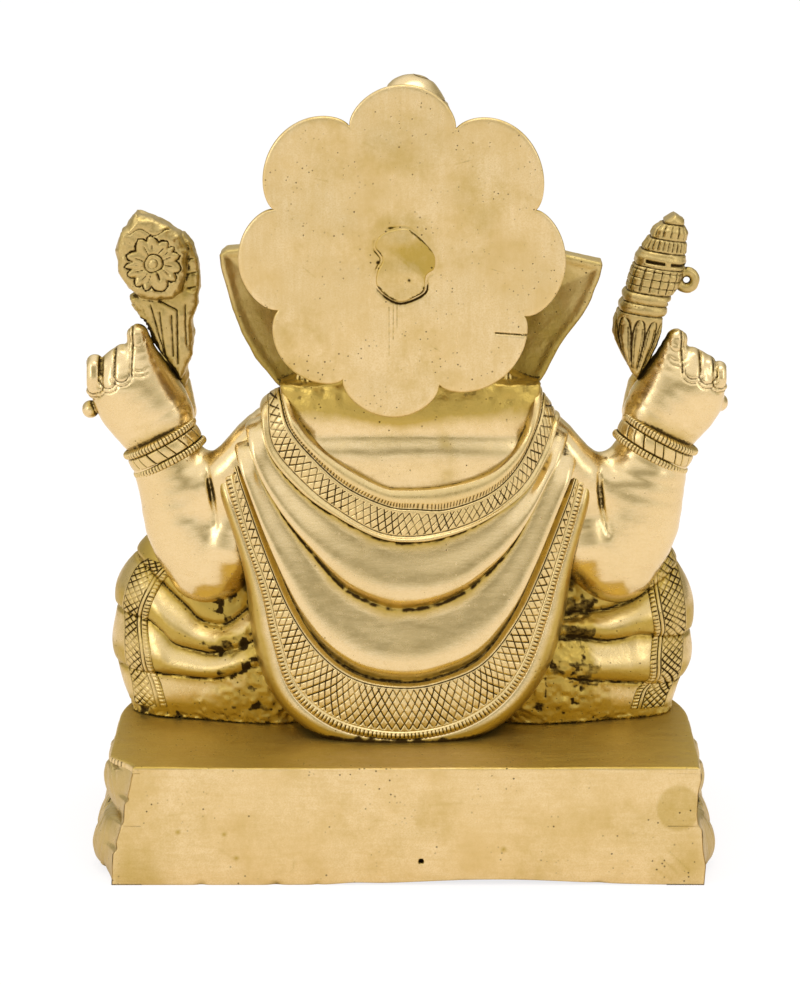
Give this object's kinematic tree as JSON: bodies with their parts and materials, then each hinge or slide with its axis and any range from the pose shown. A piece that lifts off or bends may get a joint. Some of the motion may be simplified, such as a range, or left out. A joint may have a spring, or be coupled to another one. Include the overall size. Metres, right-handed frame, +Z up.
{
  "type": "brass deity statuette",
  "caption": "Brass statuette of a seated, four-armed, elephant-headed deity with a lobed halo, on a flat-backed lotus pedestal with an open underside.",
  "frame": {"origin": "under the middle of the pedestal, on the surface it stands on", "axes": "+Z up; the figure faces -Y and its back is towards +Y; its own left hand is towards +X"},
  "size_m": [0.1593, 0.1, 0.1914],
  "materials": {
    "polished_brass": "cast, filed and buffed brass with pits and fine scratches",
    "chased_brass": "brass with milled ticks and cross-hatching cut into it",
    "aged_brass": "brass with brown tarnish left in the hollows"
  },
  "bodies": {
    "root": {"pedestal": "polished_brass", "lower_petals": "aged_brass", "upper_petals": "aged_brass", "halo_flower": "polished_brass", "halo_peg": "polished_brass", "shawl_collar_band": "chased_brass", "shawl_hem_band": "chased_brass", "left_rear_wristlet": "chased_brass", "right_rear_wristlet": "chased_brass", "left_front_wristlet": "chased_brass", "right_front_wristlet": "chased_brass", "crown_band": "chased_brass", "crown_finial": "chased_brass", "crown": "chased_brass", "left_tusk": "polished_brass", "right_tusk": "polished_brass", "sweet_bowl": "chased_brass", "trunk": "polished_brass", "head": "polished_brass", "left_ear": "polished_brass", "right_ear": "polished_brass", "nape_band": "chased_brass", "left_armlet": "chased_brass", "right_armlet": "chased_brass", "torso": "polished_brass", "necklace": "chased_brass", "sacred_thread": "chased_brass", "waist_belt": "chased_brass", "shawl": "polished_brass", "left_anklet": "chased_brass", "right_anklet": "chased_brass", "left_foot": "polished_brass", "right_foot": "polished_brass", "front_pleat": "aged_brass", "left_leg": "aged_brass", "right_leg": "aged_brass", "left_rear_arm": "polished_brass", "right_rear_arm": "polished_brass", "left_front_arm": "polished_brass", "right_front_arm": "polished_brass", "left_rear_hand": "polished_brass", "right_rear_hand": "polished_brass", "left_front_hand": "polished_brass", "right_front_hand": "polished_brass", "lotus": "aged_brass", "mace": "aged_brass"}
  },
  "joints": []
}
